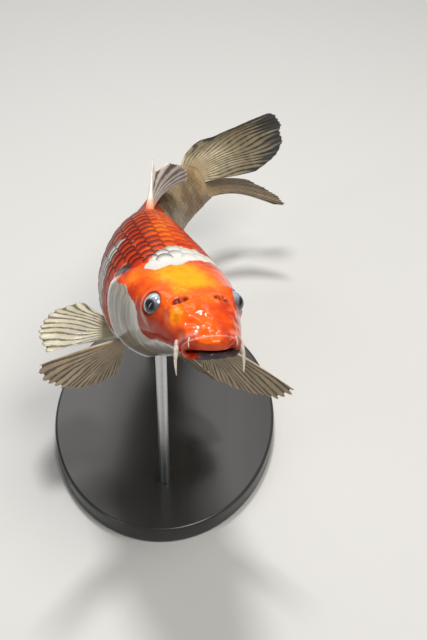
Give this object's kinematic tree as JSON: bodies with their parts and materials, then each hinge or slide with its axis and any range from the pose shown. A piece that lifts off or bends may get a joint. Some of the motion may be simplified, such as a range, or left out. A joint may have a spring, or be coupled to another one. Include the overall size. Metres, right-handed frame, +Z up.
{
  "type": "koi carp",
  "caption": "Life-size still model of an orange and white koi carp with spread fins and a bent tail, held on two rods over an oval base.",
  "frame": {"origin": "middle of the underside of the stand's base, on the floor", "axes": "+Z up, the fish faces -Y with its head turned a little towards +X, and its left side is towards +X"},
  "size_m": [0.1964, 0.4231, 0.2393],
  "materials": {
    "orange_skin": "wet gloss",
    "white_skin": "wet gloss",
    "fin": "satin",
    "eye": "polished",
    "stand_base": "satin black lacquer",
    "stand_rod": "brushed"
  },
  "bodies": {
    "root": {"head": "orange_skin", "lower_jaw": "white_skin", "gill_cover_left": "white_skin", "gill_cover_right": "white_skin", "eye_left": "eye", "eye_right": "eye", "barbel_left_rear": "white_skin", "barbel_left_front": "white_skin", "barbel_right_rear": "white_skin", "barbel_right_front": "white_skin", "trunk_front": "orange_skin", "trunk_rear": "orange_skin", "tail_root": "white_skin", "dorsal_fin": "fin", "anal_fin": "fin", "tail_fin_upper": "fin", "tail_fin_lower": "fin", "pectoral_fin_right": "fin", "pectoral_fin_left": "fin", "pelvic_fin_right": "fin", "pelvic_fin_left": "fin", "stand_base": "stand_base", "stand_rod_front": "stand_rod", "stand_rod_rear": "stand_rod"}
  },
  "joints": []
}
